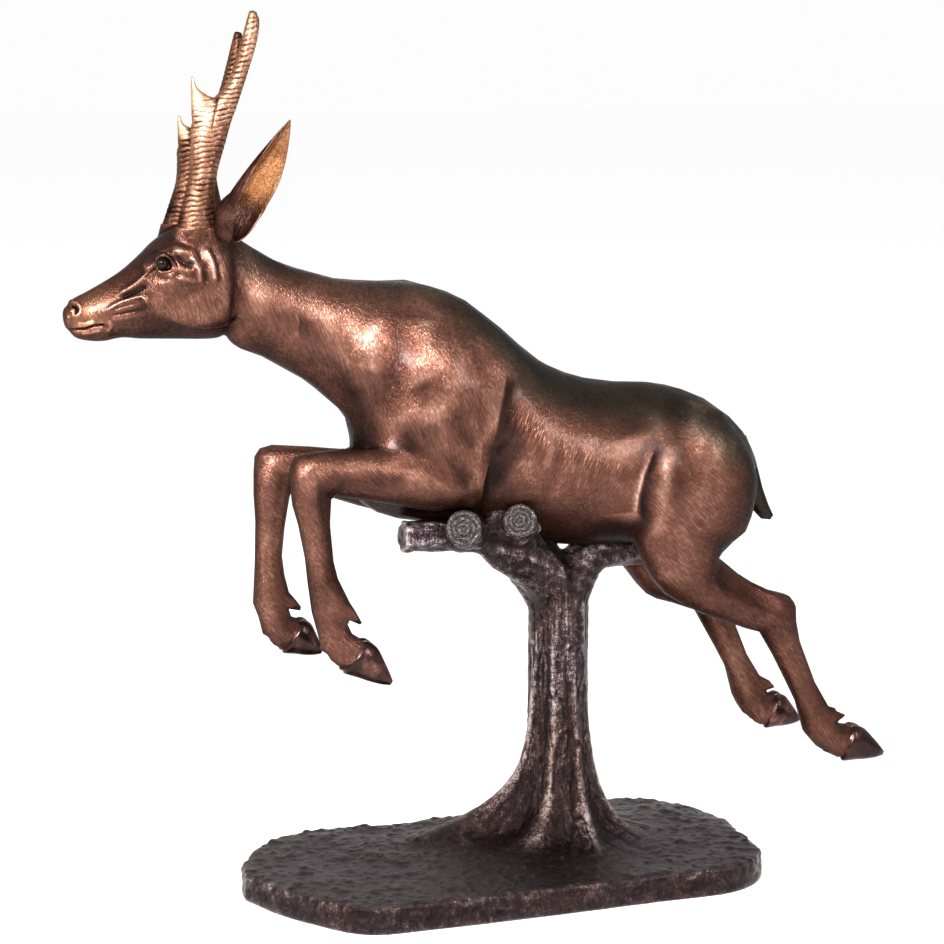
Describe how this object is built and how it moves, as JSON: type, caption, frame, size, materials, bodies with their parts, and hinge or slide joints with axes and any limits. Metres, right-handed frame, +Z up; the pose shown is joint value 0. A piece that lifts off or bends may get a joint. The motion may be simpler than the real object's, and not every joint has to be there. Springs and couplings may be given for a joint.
{
  "type": "antelope statue",
  "caption": "Cast bronze statue of an antelope with ringed, pronged horns in mid-leap, carried by a tree stump that spreads into a low piece of ground.",
  "frame": {"origin": "point of the flat underside of the ground base that lies below the axis of the tree stump, in the antelope's mid-plane", "axes": "+Z up; the antelope leaps towards -X; its left flank faces -Y"},
  "size_m": [1.3526, 0.4255, 1.3937],
  "materials": {
    "antelope_bronze": "warm reddish-brown bronze patina, rubbed bright on the high places",
    "stump_bronze": "near-black bronze patina, rubbed silvery on bark ridges"
  },
  "bodies": {
    "root": {"antelope": "antelope_bronze", "tree_stump": "stump_bronze"}
  },
  "joints": []
}
